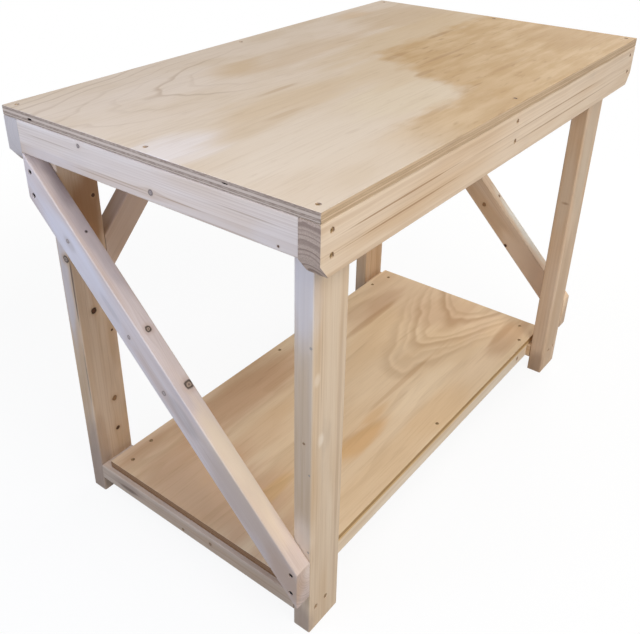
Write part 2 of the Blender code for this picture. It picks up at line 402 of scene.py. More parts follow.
class Edge(NamedTuple):
    """A mark's edge, in half lengths and widths: how far it feathers, where it starts and is full."""
    feather: float
    start: float
    full: float


class Rings(NamedTuple):
    """How rings show: the faintest of them, and the shares of a ring over which it darkens and ends."""
    faintest: float
    darkens: tuple
    ends: tuple


# Softwood's noises, along, through and across a board, and how far its grain sways
SWAY = Grain((1.3, 5, 5), 0, 1)
FIBRE = Grain((9, 420, 420), 1, 3)
RIPPLE = Grain((3, 60, 60), 5, 2)
STREAK = Grain((3.5, 120, 120), 6, 3)
DIRT = Grain((9, 26, 26), 7, 4)
WOBBLE = Grain((160, 160, 160), 0, 2)
SWAY_REACH = (0, 0.012, 0.012)

# Softwood's shades, as differences from a timber's tint, and the coats under and over its late wood
PLAIN_SHADE = (4, 4, 4)
LATE_SHADE = (-52, -70, -84)
HALO_SHADE = (-26, -38, -50)
SAWN_SHADE = (-26, -32, -32)
SAWN_RING_SHADE = (-104, -108, -100)
UNDERCOATS = (
    Coat(Grain((2.2, 22, 22), 2, 2), Span(0.34, 0.7), (-10, -18, -27)),
    Coat(STREAK, Span(0.48, 0.76, 0.18), (-34, -46, -56)),
    Coat(STREAK, Span(0.44, 0.24, 0.25), (10, 11, 12)),
)
OVERCOATS = (
    Coat(FIBRE, Span(0.46, 0.76, 0.18), LATE_SHADE),
    Coat(DIRT, Span(0.55, 0.78, 0.3), (-34, -32, -26)),
    Coat(Grain((30, 900, 900), 3, 1), Span(0.7, 0.82, 0.3), LATE_SHADE),
)
SAWN_COAT = Coat(Grain((60, 800, 800), 4, 2), Span(0.35, 0.7), (-48, -54, -52))

# Softwood's surface: which faces are sawn ends, its rings there, its roughness over the fibre, its relief
SAWN_SPAN = Span(0.55, 0.85)
SAWN_RINGS = 0.75
WOOD_ROUGHNESS = (0.25, 0.75, 0.52, 0.7)
WOOD_GLOSS = 0.2
FIBRE_HEIGHT = 0.8
LATE_HEIGHT = 0.5
WOOD_BUMP = (0.3, 0.0004)

# Growth rings: how uneven they are and how soon that changes, and their ripple
RING_UNEVEN = 2.6
RING_CHANGE = 70.0
RING_RIPPLE = 0.25
LATE_RINGS = Rings(0.15, (0.3, 0.93), (1.0, 0.95))

# Knots, in radii: how ragged they are, the pace of their rings, and where rings, rim, halo and edge show
KNOT_FAR = 9.0
KNOT_RAGGED = 0.8
KNOT_RINGS = 12.0
KNOT_RING_SPAN = Span(-0.8, 0.8, 0.5)
KNOT_RIM_SPAN = Span(0.5, 0.85, 0.9)
KNOT_HALO = (2.6, 0.8)
KNOT_EDGE_SPAN = Span(1.25, 0.75)
# The grain's bend round a knot: how it is drawn out along the grain, its reach in radii and its pull
BEND_SHAPE = (0.34, 1.0, 1.0)
BEND_REACH = (0.3, 3.6)
BEND_PULL = 0.86

STAIN_AND_SHADING_EDGE = Edge(1.2, 1.7, 1.0)
BLOTCH_EDGE = Edge(1.6, 2.0, 1.25)


def bend_round_knots(look, board, kind, knots, bent):
    """How far each point is from the nearest knot, in radii, and the grain's coordinates bent round them."""
    nearest = KNOT_FAR
    wobble = look.noise(WOBBLE)
    for knot in knots:
        spot = board.local(knot.x, knot.y, knot.z)
        radius = knot.radius * MM
        offset = look.vector("MULTIPLY", look.vector("SUBTRACT", look.local, spot), kind.shape)
        distance = look.math("DIVIDE", look.vector("LENGTH", offset), radius)
        nearest = look.math("MINIMUM", nearest, distance)
        drawn_out = look.vector("LENGTH", look.vector("MULTIPLY", offset, BEND_SHAPE))
        pull = look.fade(drawn_out, *(reach * radius for reach in BEND_REACH), BEND_PULL, 0.0)
        sideways = look.vector("MULTIPLY", offset, ACROSS_GRAIN)
        bent = look.vector("SUBTRACT", bent, look.scale(sideways, pull))
    return look.plus(look.minus(nearest, KNOT_RAGGED / 2), wobble, KNOT_RAGGED), bent


def ringed(look, level, rings):
    """Rings between a level's whole numbers, from 0 to 1: each darkens slowly, then ends sharply."""
    part = look.math("FRACT", level)
    strength = look.fade(look.pick(look.math("FLOOR", level)), 0.0, 1.0, rings.faintest, 1.0)
    return look.times(look.fade(part, *rings.darkens), look.fade(part, *rings.ends), strength)


def growth_rings(look, timber, bent):
    """Late wood round the pith, from 0 to 1."""
    pith = (0.0, timber.pith[0] * MM, timber.pith[1] * MM)
    heart = look.vector("MULTIPLY", look.vector("SUBTRACT", bent, pith), ACROSS_GRAIN)
    radius = look.vector("LENGTH", heart)
    uneven = look.line_noise(look.times(radius, RING_CHANGE))
    phase = look.plus(look.math("DIVIDE", radius, timber.ring * MM), uneven, RING_UNEVEN)
    phase = look.plus(phase, look.noise(RIPPLE), RING_RIPPLE)
    return ringed(look, phase, LATE_RINGS)


def marked(look, colour, mark, spot, scale, feather, edge):
    """Paints a stain or a blotch round a spot."""
    offset = look.vector("MULTIPLY", look.vector("SUBTRACT", look.local, spot), scale)
    distance = look.plus(look.vector("LENGTH", offset), feather, edge.feather)
    return look.coat(colour, distance, Span(edge.start, edge.full, mark.strength), mark.colour)


def patched(look, board, stains_and_shading, colour):
    """Paints marks, and patches of painted light and shade, over the wood, with ragged edges."""
    feather = look.noise(DIRT)
    for patch in stains_and_shading:
        spot = board.local(patch.x, patch.y, patch.z)
        along, across = 1 / (patch.length * MM), 1 / (patch.width * MM)
        colour = marked(look, colour, patch, spot, (along, across, across), feather, STAIN_AND_SHADING_EDGE)
    return colour


def knotted(look, kind, distance, colour, tint):
    """Paints knots over the wood: a stain round each, a rim of bark and a ringed heart."""
    rings = look.math("SINE", look.times(distance, KNOT_RINGS))
    core = look.coat(kind.heart, rings, KNOT_RING_SPAN, kind.rim)
    core = look.coat(core, distance, KNOT_RIM_SPAN, kind.rim)
    colour = look.coat(colour, distance, Span(*KNOT_HALO, kind.halo), shaded(tint, HALO_SHADE))
    return look.coat(colour, distance, KNOT_EDGE_SPAN, core)


def softwood(board, timber, seed):
    """Planed softwood: growth rings round a pith, bent round each knot, with end grain on the sawn ends."""
    look = Look("softwood_" + board.name, seed)
    tint = timber.tint
    inputs = {"Vector": look.place, "Location": board.centre, "Rotation": board.turn}
    look.local = look.add("Mapping", inputs, vector_type="TEXTURE").outputs[0]
    sway = look.vector("SUBTRACT", look.noise(SWAY, output=NOISE_COLOUR), (0.5, 0.5, 0.5))
    bent = look.vector("ADD", look.local, look.vector("MULTIPLY", sway, SWAY_REACH))
    distances = {}
    for kind in dict.fromkeys(knot.kind for knot in timber.knots):
        knots = [knot for knot in timber.knots if knot.kind == kind]
        distances[kind], bent = bend_round_knots(look, board, kind, knots, bent)
    late = growth_rings(look, timber, bent)

    colour = look.coated(shaded(tint, PLAIN_SHADE), *UNDERCOATS, tint=tint, place=bent)
    colour = look.mix(look.times(late, timber.figure), colour, shaded(tint, LATE_SHADE))
    colour = look.coated(colour, *OVERCOATS, tint=tint)
    end = look.coated(shaded(tint, SAWN_SHADE), SAWN_COAT, tint=tint)
    end = look.mix(look.times(late, SAWN_RINGS), end, shaded(tint, SAWN_RING_SHADE))
    colour = look.coat(colour, look.along(look.normal, board.along), SAWN_SPAN, end)
    colour = patched(look, board, timber.stains_and_shading, colour)
    for kind, distance in distances.items():
        colour = knotted(look, kind, distance, colour, tint)

    fibre = look.noise(FIBRE)
    height = look.plus(look.times(late, LATE_HEIGHT), fibre, FIBRE_HEIGHT)
    return look.finish(colour, look.fade(fibre, *WOOD_ROUGHNESS), WOOD_GLOSS, height, WOOD_BUMP)


class Veneer(NamedTuple):
    """The colours of a plywood board: its face and the lines on it, the edges across its grain, the edges
    along its grain and the lowest ply there, and where its plies end as shares of its thickness."""
    pale: tuple
    dark: tuple
    end_pale: tuple
    end_dark: tuple
    side_pale: tuple
    side_dark: tuple
    side_foot: tuple
    plies: tuple


class Blotch(NamedTuple):
    """A patch of colour on a veneer, a real mark or painted sheen or shade, in millimetres from the board's
    middle, with half its length and width.
    """
    x: float
    y: float
    length: float
    width: float
    strength: float
    colour: tuple


def blotched(look, colour, blotches, feather):
    """Paints blotches whose edges feather out along the grain."""
    for blotch in blotches:
        spot = (blotch.x * MM, blotch.y * MM, 0.0)
        scale = (1 / (blotch.length * MM), 1 / (blotch.width * MM), 0.0)
        colour = marked(look, colour, blotch, spot, scale, feather, BLOTCH_EDGE)
    return colour


class Bow(NamedTuple):
    """A dark bow on a veneer's face, in millimetres: its tip along the board, its width and its strength."""
    tip: float
    width: float
    strength: float


class Figure(NamedTuple):
    """Nested bows that open to the right, in metres: their axis and curve, how far out they reach and how
    far they waver."""
    axis: float
    curve: float
    reach: float
    waver: float
    bows: tuple


# A bow's inner edge as a share of its width, and where bows are strongest, as a share of their reach
BOW_INNER = 0.4
BOW_FULL = 1 / 3


def nested_bows(look, figure, x, y, wave):
    """How dark the bows are at a point, from 0 to 1, and the level along the board that they follow."""
    off = look.minus(y, figure.axis)
    level = look.plus(x, look.times(off, off), -figure.curve)
    level = look.plus(level, look.minus(wave, 0.5), figure.waver)
    dark = 0.0
    for bow in figure.bows:
        tip, width = bow.tip * MM, bow.width * MM
        inner = look.fade(level, tip + BOW_INNER * width, tip)
        band = look.times(look.fade(level, tip - width, tip), inner, bow.strength)
        dark = look.math("MAXIMUM", dark, band)
    near = look.fade(look.math("ABSOLUTE", off), figure.reach, figure.reach * BOW_FULL)
    return look.times(dark, near), level


# The top's face, in metres: a tan zone to the right of a slanting front, with a lobe along the front edge
TAN_FRONT = 0.094
TAN_SLANT = 0.41
TAN_BACK = 0.030
TAN_LOBE = -0.250
TAN_LOBE_ENDS = (-0.42, -0.15)
TAN_FRONT_FADE = (-0.05, 0.04)
TAN_BACK_FADE = (-0.03, 0.02)
TAN_LOBE_FADE = (-0.015, 0.025)
TAN_RIM_FADE = (0.2, 0.0)
TAN_RAGGED = 0.20
TAN_SIDE_RAGGED = 0.10
TAN_LOBE_SHARE = 0.9
TAN_SHARE = 0.9
TAN_RIM_SHARE = 0.3
TAN_PALE = (206, 176, 136)
TAN_RIM = (184, 148, 104)
TAN_MOTTLE = Coat(Grain((8, 36, 0), 4, 4), Span(0.36, 0.62), (192, 158, 113))
TOP_CLOUD = Coat(Grain((5, 13, 0), 3, 4), Span(0.42, 0.66, 0.5), (209, 188, 162))
TOP_FEATHER = Grain((3.2, 30, 0), 0, 4)
TOP_WAVE = Grain((6, 12, 0), 2, 2)
TOP_RAGGED = Grain((10, 24, 0), 5, 4)
TOP_FLECK = Grain((17, 80, 0), 6, 3)
TOP_FLECK_FADE = (0.57, 0.72)
TOP_FLECK_SHARES = (0.1, 0.4)
TOP_FLECKED = (150, 112, 74)
# Paler and cooler towards the back of the top: painted sheen
TOP_SHEEN_SPAN = Span(-0.02, 0.14, 0.75)
TOP_SHEEN_RAGGED = 0.25
TOP_PAINTED_SHEEN = (222, 205, 188)
TOP_VENEER = Veneer(
    pale=(217, 199, 178), dark=(158, 126, 94),
    end_pale=(206, 184, 163), end_dark=(148, 126, 109),
    side_pale=(209, 184, 156), side_dark=(180, 154, 124), side_foot=(200, 176, 146),
    plies=(0.13, 0.24, 0.44, 0.7),
)
TOP_BLOTCHES = (
    # Both blotches on this line, paler and cooler at the top's left front, are painted sheen.
    Blotch(-400, -190, 240, 90, 0.8, (221, 205, 186)), Blotch(-575, -40, 110, 60, 0.9, (226, 215, 208)),
    Blotch(-180, 190, 100, 46, 0.7, (204, 177, 142)), Blotch(-270, -20, 200, 64, 0.6, (209, 184, 152)),
    Blotch(-120, -170, 160, 90, 0.6, (219, 202, 176)), Blotch(60, 165, 280, 55, 0.5, (206, 181, 152)),
    Blotch(480, 180, 220, 130, 0.7, (201, 176, 145)), Blotch(-420, -70, 120, 26, 0.5, (206, 182, 152)),
    Blotch(400, 305, 80, 26, 0.5, (212, 182, 146)), Blotch(-230, 32, 70, 8, 0.5, (186, 156, 122)),
    Blotch(-340, -66, 60, 9, 0.4, (190, 160, 128)), Blotch(340, 70, 400, 90, 0.8, (209, 185, 153)),
    Blotch(30, -60, 150, 110, 0.6, (211, 188, 157)), Blotch(-330, 215, 150, 90, 0.5, (226, 211, 197)),
)
TOP_STREAKS_AND_SHADE = (
    Blotch(180, -84, 105, 7, 0.4, (160, 122, 82)), Blotch(190, -228, 100, 8, 0.3, (164, 126, 86)),
    Blotch(345, 20, 60, 8, 0.4, (158, 122, 84)), Blotch(-160, -262, 60, 8, 0.35, (172, 136, 96)),
    Blotch(40, -122, 34, 8, 0.4, (160, 124, 84)), Blotch(120, -6, 50, 10, 0.35, (164, 128, 88)),
    # A darker patch at the right front corner: painted shade.
    Blotch(540, -240, 160, 140, 0.7, (184, 151, 109)),
)
TOP_FIGURE = Figure(0.171, 20.0, 0.34, 0.24, (
    Bow(-290, 20, 0.35), Bow(-406, 28, 1.0), Bow(-500, 20, 0.3), Bow(-620, 26, 0.5), Bow(-790, 34, 0.7),
    Bow(-920, 40, 1.0), Bow(-1080, 44, 1.0), Bow(-1220, 40, 0.8),
))
TOP_FIGURE_ENDS = (0.05, -0.25)
TOP_FIGURE_FRONT = (0.06, 0.12)
TOP_FIGURE_FAINT = 0.2
TOP_LINES = 0.34


def tan_zone(look, x, y, ragged):
    """How far a point is inside the tan zone, and inside the darker rim along its front, from 0 to 1."""
    front = look.plus(look.minus(look.plus(x, y, -TAN_SLANT), TAN_FRONT), ragged, TAN_RAGGED)
    back = look.plus(look.minus(TAN_BACK, y), ragged, TAN_SIDE_RAGGED)
    main = look.times(look.fade(front, *TAN_FRONT_FADE), look.fade(back, *TAN_BACK_FADE))
    lobe = look.plus(look.minus(TAN_LOBE, y), ragged, TAN_SIDE_RAGGED)
    lobe = look.times(look.fade(lobe, *TAN_LOBE_FADE), look.fade(x, *TAN_LOBE_ENDS, 0.0, TAN_LOBE_SHARE))
    return look.math("MAXIMUM", main, lobe), look.times(main, look.fade(front, *TAN_RIM_FADE))


def top_face(look):
    """The top's colour, with painted sheen and shade in it, and its dark lines."""
    x, y, _ = look.parts(look.local)
    feather = look.noise(TOP_FEATHER)
    ragged = look.minus(look.noise(TOP_RAGGED), 0.5)
    # Paler and cooler towards the back: painted sheen
    depth = look.plus(y, ragged, TOP_SHEEN_RAGGED)
    colour = look.coat(TOP_VENEER.pale, depth, TOP_SHEEN_SPAN, TOP_PAINTED_SHEEN)
    colour = blotched(look, look.coated(colour, TOP_CLOUD), TOP_BLOTCHES, feather)

    tan, rim = tan_zone(look, x, y, ragged)
    mottled = look.coated(TAN_PALE, TAN_MOTTLE)
    colour = look.mix(look.times(tan, TAN_SHARE), colour, mottled)
    colour = look.mix(look.times(rim, TAN_RIM_SHARE), colour, TAN_RIM)
    fleck = look.fade(look.noise(TOP_FLECK), *TOP_FLECK_FADE)
    flecks = look.times(fleck, look.fade(tan, 0.0, 1.0, *TOP_FLECK_SHARES))
    colour = look.mix(flecks, colour, TOP_FLECKED)
    colour = blotched(look, colour, TOP_STREAKS_AND_SHADE, feather)

    lines, _ = nested_bows(look, TOP_FIGURE, x, y, look.noise(TOP_WAVE))
    front = look.fade(y, *TOP_FIGURE_FRONT, TOP_FIGURE_FAINT, 1.0)
    lines = look.times(lines, look.fade(x, *TOP_FIGURE_ENDS), front)
    return look.mix(look.times(lines, TOP_LINES), colour, TOP_VENEER.dark), lines


# The shelf's face: bows on the right, faint rows of lines on the left
SHELF_VENEER = Veneer(
    pale=(231, 206, 172), dark=(160, 118, 76),
    end_pale=(180, 140, 104), end_dark=(138, 102, 74),
    side_pale=(192, 156, 108), side_dark=(160, 124, 82), side_foot=(220, 188, 140),
    plies=(0.4, 0.52, 0.66, 0.8),
)
SHELF_BLOTCHES = (
    Blotch(-160, -136, 110, 34, 0.7, (216, 170, 114)), Blotch(40, -225, 180, 50, 0.5, (222, 186, 140)),
    # The second blotch on this line, darker over the shelf's left end, is painted shade.
    Blotch(100, -150, 150, 34, 0.7, (236, 213, 180)), Blotch(-480, 40, 150, 260, 0.7, (206, 166, 130)),
    # The first blotch on this line, darker towards the back left, is painted shade.
    Blotch(-200, 190, 330, 74, 0.8, (200, 160, 124)), Blotch(400, 160, 100, 44, 0.6, (200, 164, 128)),
    Blotch(320, -215, 150, 40, 0.5, (236, 211, 180)), Blotch(480, 60, 140, 240, 0.5, (218, 191, 162)),
    Blotch(-60, -110, 70, 16, 0.5, (214, 172, 120)), Blotch(465, -192, 80, 14, 0.5, (178, 138, 98)),
    Blotch(-420, -80, 90, 20, 0.5, (220, 180, 122)), Blotch(-300, 60, 160, 60, 0.4, (212, 172, 130)),
    Blotch(450, -20, 110, 80, 0.5, (208, 176, 142)), Blotch(450, -215, 120, 34, 0.6, (196, 160, 124)),
    Blotch(330, 178, 150, 50, 0.5, (198, 164, 132)), Blotch(320, 135, 170, 11, 0.5, (182, 142, 104)),
    Blotch(90, -92, 180, 7, 0.4, (190, 150, 108)),
)
SHELF_FIGURE = Figure(-0.040, 14.0, 0.2, 0.28, (
    Bow(160, 70, 0.35), Bow(226, 44, 0.22), Bow(292, 62, 0.5), Bow(358, 40, 0.3), Bow(448, 52, 0.6),
    Bow(506, 36, 0.3),
))
SHELF_BROAD = Coat(Grain((2.2, 8, 0), 3, 3), Span(0.4, 0.68, 0.7), (220, 189, 149))
SHELF_FLECK = Coat(Grain((5, 60, 0), 4, 3), Span(0.58, 0.76, 0.2), SHELF_VENEER.dark)
SHELF_FEATHER = Grain((3.2, 24, 0), 0, 4)
SHELF_SWIRL = Grain((1.4, 6.5, 0), 1, 2)
SHELF_WAVE = Grain((5, 9, 0), 2, 2)
SHELF_RINGS = Rings(0.2, (0.25, 0.86), (1.0, 0.9))
SHELF_ROWS = 12.0
SHELF_SWIRLED = 7.0
SHELF_ROWS_FADE = (0.08, -0.06, 0.0, 0.2)
SHELF_LINES = 0.75


def shelf_face(look):
    """The shelf's colour and its dark lines."""
    x, y, _ = look.parts(look.local)
    bows, level = nested_bows(look, SHELF_FIGURE, x, y, look.noise(SHELF_WAVE))
    rows = look.plus(look.times(y, SHELF_ROWS), look.noise(SHELF_SWIRL), SHELF_SWIRLED)
    rows = look.times(ringed(look, rows, SHELF_RINGS), look.fade(level, *SHELF_ROWS_FADE))
    lines = look.math("MAXIMUM", bows, rows)

    colour = look.coated(SHELF_VENEER.pale, SHELF_BROAD)
    colour = blotched(look, colour, SHELF_BLOTCHES, look.noise(SHELF_FEATHER))
    colour = look.coated(colour, SHELF_FLECK)
    return look.mix(look.times(lines, SHELF_LINES), colour, SHELF_VENEER.dark), lines


# Plywood's edges: how far the plies sag and their borders blur, the glue between them, end grain and wear
PLY_SAG = Grain((9, 9, 0), 10, 2)
PLY_STRAND = Grain((16, 16, 500), 11, 3)
PLY_GRIT = Grain((160, 160, 700), 12, 3)
PLY_WEAR = Grain((7, 7, 60), 13, 3)
PLY_SAG_REACH = 0.07
PLY_BLUR = 0.015
PLY_FOOT_BLUR = 0.03
PLY_END_GRAIN = (0.3, 0.7, 0.4, 1.0)
PLY_CROSSED = 0.6
PLY_STRAND_SPAN = Span(0.35, 0.7, 0.6)
PLY_WEAR_SPAN = Span(0.5, 0.75, 0.3)
PLY_ARRIS_SPAN = Span(0.91, 0.97, 0.5)
PLY_END_SPAN = Span(0.5, 0.8)
GLUE_FADE = (0.04, 0.01)
GLUE_SHARE = 0.30
GLUE = (96, 76, 62)


def ply_edge(look, board, veneer):
    """The colour of the sawn edges: five plies, dark in their end grain, with glue lines between them."""
    rise = look.minus(look.parts(look.place)[2], board.low.z)
    share = look.math("DIVIDE", rise, board.high.z - board.low.z)
    sag = look.minus(look.noise(PLY_SAG), 0.5)
    share = look.plus(share, sag, PLY_SAG_REACH)
    crossed, glue = 0.0, 0.0
    for number, end in enumerate(veneer.plies):
        past = look.fade(share, end - PLY_BLUR, end + PLY_BLUR)
        crossed = look.math("ADD" if number % 2 == 0 else "SUBTRACT", crossed, past)
        near = look.math("ABSOLUTE", look.minus(share, end))
        glue = look.math("MAXIMUM", glue, look.fade(near, *GLUE_FADE))
    grit = look.noise(PLY_GRIT)
    end_grain = look.fade(grit, *PLY_END_GRAIN)
    lengthwise = look.times(end_grain, look.minus(1.0, crossed))
    end = look.mix(lengthwise, veneer.end_pale, veneer.end_dark)
    side = look.coat(veneer.side_pale, look.noise(PLY_STRAND), PLY_STRAND_SPAN, veneer.side_dark)
    side = look.mix(look.times(end_grain, crossed, PLY_CROSSED), side, veneer.side_dark)
    foot = Span(veneer.plies[0] + PLY_FOOT_BLUR, veneer.plies[0] - PLY_FOOT_BLUR)
    side = look.coat(side, share, foot, veneer.side_foot)
    colour = look.coat(side, look.along(look.normal, X_AXIS), PLY_END_SPAN, end)
    colour = look.coat(colour, look.noise(PLY_WEAR), PLY_WEAR_SPAN, veneer.end_dark)
    colour = look.mix(look.times(glue, GLUE_SHARE), colour, GLUE)
    return look.coat(colour, share, PLY_ARRIS_SPAN, veneer.end_dark), grit


# Plywood's faces: their fibre, which way they look, and how deep their skin is, in half thicknesses
PLY_FIBRE = Grain((10, 330, 40), 7, 3)
PLY_FIBRE_SPAN = Span(0.45, 0.75, 0.12)
PLY_FACE_FADE = (0.6, 0.8)
PLY_SKIN_FADE = (0.8, 0.95)
PLY_ROUGHNESS = (0.25, 0.75, 0.6, 0.76)
PLY_GLOSS = 0.1
PLY_FIBRE_HEIGHT = 0.6
PLY_LINE_HEIGHT = 0.3
PLY_GRIT_HEIGHT = 1.5
PLY_BUMP = (0.28, 0.0004)
CORE_SHADE = (66, 54, 46)


def plywood(board, veneer, face, seed):
    """Softwood plywood: rotary-cut faces with their grain along the bench, and the plies along the edges."""
    look = Look("plywood_" + board.name, seed)
    look.local = look.vector("SUBTRACT", look.place, board.centre)
    colour, lines = face(look)
    fibre = look.noise(PLY_FIBRE)
    colour = look.coat(colour, fibre, PLY_FIBRE_SPAN, veneer.dark)
    edge, grit = ply_edge(look, board, veneer)
    flat = look.fade(look.along(look.normal, Z_AXIS), *PLY_FACE_FADE)
    half = (board.high.z - board.low.z) / 2
    skin = look.fade(look.along(look.local, Z_AXIS), *(share * half for share in PLY_SKIN_FADE))
    core = look.mix(flat, edge, CORE_SHADE)
    colour = look.mix(look.times(flat, skin), core, colour)
    roughness = look.fade(fibre, *PLY_ROUGHNESS)
    height = look.plus(look.times(lines, PLY_LINE_HEIGHT), fibre, PLY_FIBRE_HEIGHT)
    height = look.plus(height, look.times(grit, look.minus(1.0, flat)), PLY_GRIT_HEIGHT)
    return look.finish(colour, roughness, PLY_GLOSS, height, PLY_BUMP)


class Plate(NamedTuple):
    """The colours of a screw: its own, that of its darker patches and that of scuffs from the driver."""
    clean: tuple
    patched: tuple
    scuffed: tuple


YELLOW_PLATE = Plate((172, 146, 106), (136, 110, 74), (196, 176, 142))
# A darker copy of the plate for the braces' screws: painted shade
SHADED_PLATE = Plate((50, 45, 39), (28, 25, 21), (104, 97, 86))
STEEL_STAIN = Grain((240, 240, 240), 1, 3)
STEEL_SCUFF = Grain((1600, 500, 900), 2, 2)
STEEL_STAIN_SPAN = Span(0.35, 0.65)
STEEL_SCUFF_SPAN = Span(0.64, 0.76, 0.3)
STEEL_METALLIC = 0.6
STEEL_ROUGHNESS = (0.3, 0.7, 0.5, 0.72)
STEEL_GLOSS = 0.3
STEEL_BUMP = (0.2, 0.0001)


def screw_steel(name, plate):
    """Dull plated steel, darkened in patches and scuffed by the driver."""
    look = Look(name)
    patch = look.noise(STEEL_STAIN)
    scuff = look.noise(STEEL_SCUFF)
    colour = look.coat(plate.clean, patch, STEEL_STAIN_SPAN, plate.patched)
    colour = look.coat(colour, scuff, STEEL_SCUFF_SPAN, plate.scuffed)
    look.shader.inputs["Metallic"].default_value = STEEL_METALLIC
    return look.finish(colour, look.fade(patch, *STEEL_ROUGHNESS), STEEL_GLOSS, scuff, STEEL_BUMP)


def lathe(bm, profile, sides):
    """Turns a profile of (radius, height) in millimetres about Z."""
    points = [bm.verts.new((radius * MM, 0.0, height * MM)) for radius, height in profile]
    edges = [bm.edges.new(pair) for pair in zip(points, points[1:])]
    bmesh.ops.spin(
        bm, geom=points + edges, cent=(0, 0, 0), axis=(0, 0, 1), angle=2 * math.pi, steps=sides,
        use_merge=True,
    )
    bmesh.ops.remove_doubles(bm, verts=bm.verts, dist=WELD)
    bmesh.ops.recalc_face_normals(bm, faces=bm.faces)


def add_object(name, data):
    """A new object in the scene."""
    added = bpy.data.objects.new(name, data)
    bpy.context.scene.collection.objects.link(added)
    return added


def new_piece(name, bm, material=None):
    """A new object with a mesh of its own."""
    mesh = bpy.data.meshes.new(name)
    bm.to_mesh(mesh)
    bm.free()
    if material:
        mesh.materials.append(material)
    return add_object(name, mesh)


def cut_away(piece, cutter):
    """Takes the cutter's shape out of the piece, and the cutter out of the scene."""
    saw = piece.modifiers.new("Cut", "BOOLEAN")
    saw.operation = "DIFFERENCE"
    saw.solver = "EXACT"
    saw.object = cutter
    bpy.context.view_layer.update()
    cut = bpy.data.meshes.new_from_object(piece.evaluated_get(bpy.context.evaluated_depsgraph_get()))
    piece.modifiers.clear()
    piece.data = cut
    bpy.data.objects.remove(cutter, do_unlink=True)


def recess_blade(head, turn):
    """One tapered blade of the driver's cross, with its mouth at height 0."""
    bm = bmesh.new()
    blade = bmesh.ops.create_cube(bm, size=1.0)["verts"]
    size = Vector((2 * RECESS_REACH * head, RECESS_WIDTH * head, 2 * RECESS_DEPTH)) * MM
    bmesh.ops.scale(bm, vec=size, verts=blade)
    tip = [v for v in blade if v.co.z < 0]
    bmesh.ops.scale(bm, vec=(RECESS_TAPER, RECESS_TAPER, 1.0), verts=tip)
    bmesh.ops.rotate(bm, cent=(0, 0, 0), matrix=Matrix.Rotation(turn, 3, "Z"), verts=blade)
    return new_piece("recess_blade", bm)


def thread_into(bm, core, outer, top, bottom):
    """A sharp helical ridge round the lower part of the shank, closed at both ends."""
    known = set(bm.faces)
    steps = int((top - bottom) / THREAD_PITCH * THREAD_SIDES)
    root = core * THREAD_ROOT
    rings = []
    for step in range(steps + 1):
        angle = 2 * math.pi * step / THREAD_SIDES
        height = bottom + (top - bottom) * step / steps
        swell = max(THREAD_END, min(1.0, step / THREAD_SIDES, (steps - step) / THREAD_SIDES))
        crest = root + (outer - root) * swell
        rings.append([
            bm.verts.new(Vector((math.cos(angle) * reach, math.sin(angle) * reach, height + rise)) * MM)
            for reach, rise in ((root, THREAD_HALF), (crest, 0.0), (root, -THREAD_HALF))
        ])
    for lower, upper in zip(rings, rings[1:]):
        for i in range(3):
            j = (i + 1) % 3
            bm.faces.new((lower[i], lower[j], upper[j], upper[i]))
    bm.faces.new(rings[0])
    bm.faces.new(reversed(rings[-1]))
    bmesh.ops.recalc_face_normals(bm, faces=[f for f in bm.faces if f not in known])


def screw_mesh(name, kind, material):
    """A countersunk wood screw, head up, with the face of its head at height 0."""
    head, shank, length = kind
    core = shank * SCREW_CORE / 2
    cone = (head - shank) / 2
    plain = -length * SCREW_PLAIN
    ease_in, ease_down = SCREW_EASE
    bm = bmesh.new()
    lathe(bm, [
        (0, 0), (head / 2 - ease_in, 0), (head / 2, -ease_down), (head / 2, -SCREW_LIP),
        (core + SCREW_NECK, -SCREW_LIP - cone - SCREW_NECK_DROP), (core + SCREW_PLAIN_OUT, plain),
        (core, plain - SCREW_STEP), (core, -length + SCREW_POINT * shank), (0, -length),
    ], SCREW_SIDES)
    screw = new_piece(name, bm, material)
    for turn in (0.0, math.pi / 2):
        cut_away(screw, recess_blade(head, turn))
    mesh = screw.data
    bm = bmesh.new()
    bm.from_mesh(mesh)
    thread_into(bm, core, shank / 2, plain - THREAD_GAP, -length + shank)
    bm.to_mesh(mesh)
    bm.free()
    mesh.shade_smooth()
    mesh.set_sharp_from_angle(angle=SMOOTH_ANGLE)
    bpy.data.objects.remove(screw, do_unlink=True)
    return mesh


def place_screw(name, mesh, head_point, inward, twist):
    """A screw with its head at a point, driven inwards and turned by the twist."""
    piece = add_object(name, mesh)
    turn = DOWN.rotation_difference(inward).to_matrix().to_4x4()
    piece.matrix_world = Matrix.Translation(head_point) @ turn @ Matrix.Rotation(twist, 4, "Z")
    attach(piece, "root")
    return piece


def dress_screws(frame_screw, brace_screw, board_screw):
    """A detailed screw in place of each plain one, turned as its driver left it."""
    names = sorted(name for name in frame["nodes"] if "_screw_" in name)
    for number, name in enumerate(names):
        low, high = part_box(name)
        size, head = high - low, (low + high) / 2
        axis = max(range(3), key=lambda k: size[k])
        inward = Vector((0, 0, 0))
        inward[axis] = -1.0 if head[axis] > 0 else 1.0
        head[axis] = high[axis] if head[axis] > 0 else low[axis]
        mesh = frame_screw
        if "_brace_" in name:
            mesh = brace_screw
        if name.startswith("top"):
            mesh = board_screw
        piece = place_screw(name + "_dressed", mesh, head, inward, number * SCREW_TURN)
        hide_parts(name)


